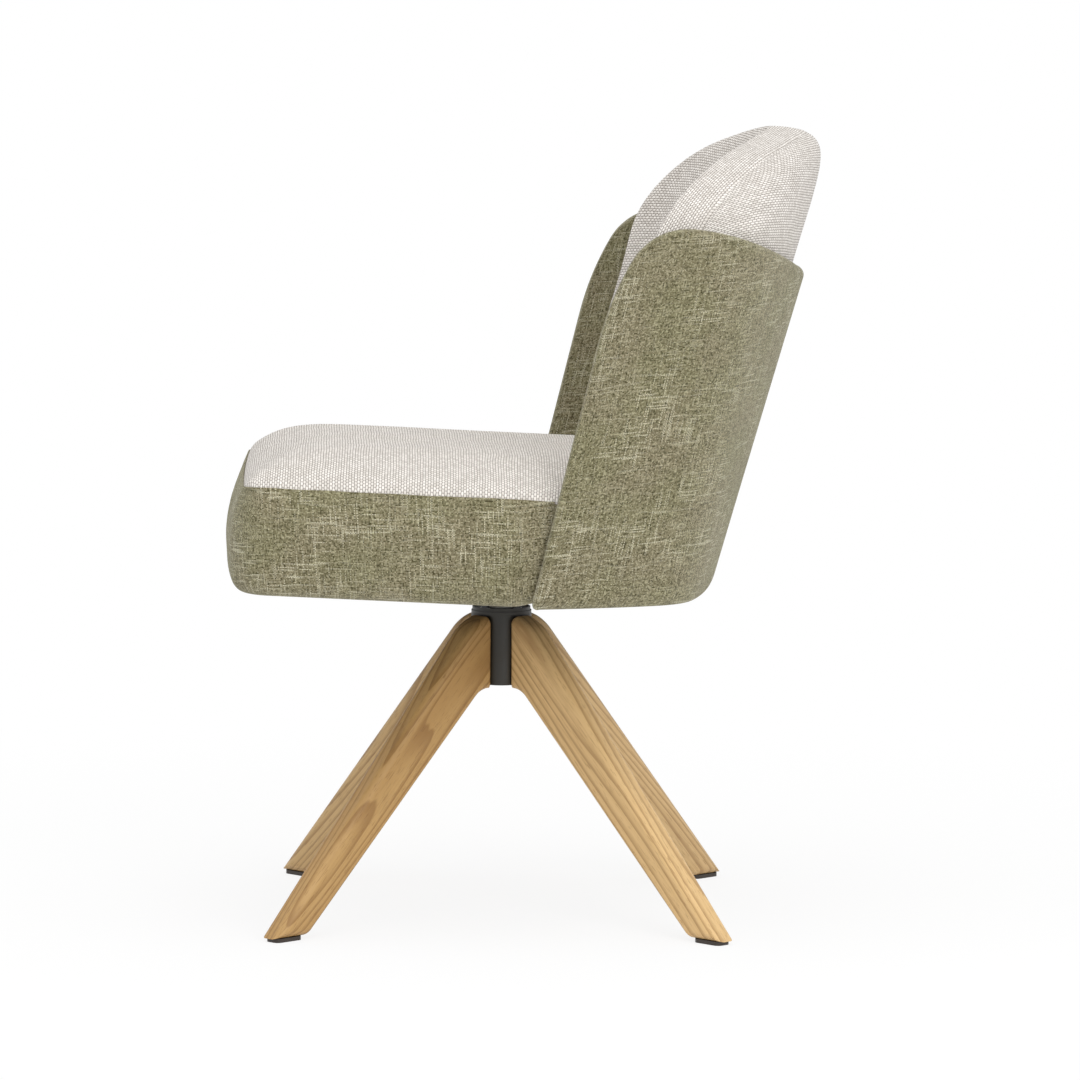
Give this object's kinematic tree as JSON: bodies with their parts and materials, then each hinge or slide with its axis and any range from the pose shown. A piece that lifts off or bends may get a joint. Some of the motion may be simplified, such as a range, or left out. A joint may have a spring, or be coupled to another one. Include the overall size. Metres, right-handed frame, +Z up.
{
  "type": "swivel dining chair",
  "caption": "Upholstered bucket dining chair that swivels on a splayed oak base, with a wrap-round back shell, a loose-look back cushion and a crowned seat.",
  "frame": {"origin": "on the floor under the middle of the whole chair, 24.8 mm behind the swivel axis", "axes": "+Z up along the swivel axis, the seat faces -Y, +X is the sitter's left"},
  "size_m": [0.4878, 0.6218, 0.811],
  "materials": {
    "green_fabric": "sage green chenille weave with cream flecks",
    "cream_fabric": "cream basket weave",
    "oak": "clear matt lacquer over straight-grained oak",
    "plywood": "unfinished plywood",
    "dowel_beech": "bare beech",
    "black_metal": "satin black powder coat",
    "zinc_steel": "bright zinc plate",
    "dark_steel": "black oxide",
    "insert_brass": "plain",
    "bush_plastic": "plain moulded",
    "glide_plastic": "dark moulded",
    "black_cloth": "thin non-woven lining"
  },
  "bodies": {
    "base": {"base_hub": "black_metal", "leg_front_left": "oak", "leg_front_right": "oak", "leg_rear_left": "oak", "leg_rear_right": "oak", "foot_glide_front_left": "glide_plastic", "foot_glide_front_right": "glide_plastic", "foot_glide_rear_left": "glide_plastic", "foot_glide_rear_right": "glide_plastic", "glide_screws": "zinc_steel", "leg_bolts": "zinc_steel", "leg_bolt_washers": "zinc_steel", "leg_inserts": "insert_brass", "leg_dowels": "dowel_beech", "bearing_flange": "black_metal", "flange_washers": "zinc_steel", "flange_screws": "dark_steel", "upper_bush": "bush_plastic", "lower_bush": "bush_plastic"},
    "seat": {"back_cushion": "cream_fabric", "back_inner_panel": "plywood", "back_shell": "green_fabric", "board_nuts": "zinc_steel", "bracket_screws": "zinc_steel", "dust_cover": "black_cloth", "panel_screws": "zinc_steel", "plate_screws": "dark_steel", "retaining_ring": "zinc_steel", "seat_band": "green_fabric", "seat_board": "plywood", "seat_plate": "black_metal", "seat_top": "cream_fabric", "shell_bracket_left": "black_metal", "shell_bracket_rear": "black_metal", "shell_bracket_right": "black_metal", "shell_screws": "zinc_steel", "swivel_spindle": "black_metal", "thrust_washer": "zinc_steel"}
  },
  "joints": [
    {"name": "swivel", "type": "hinge", "parent": "base", "child": "seat", "pos_m": [0, -0.0248, 0.3], "axis": [0, 0, 1], "continuous": true}
  ]
}
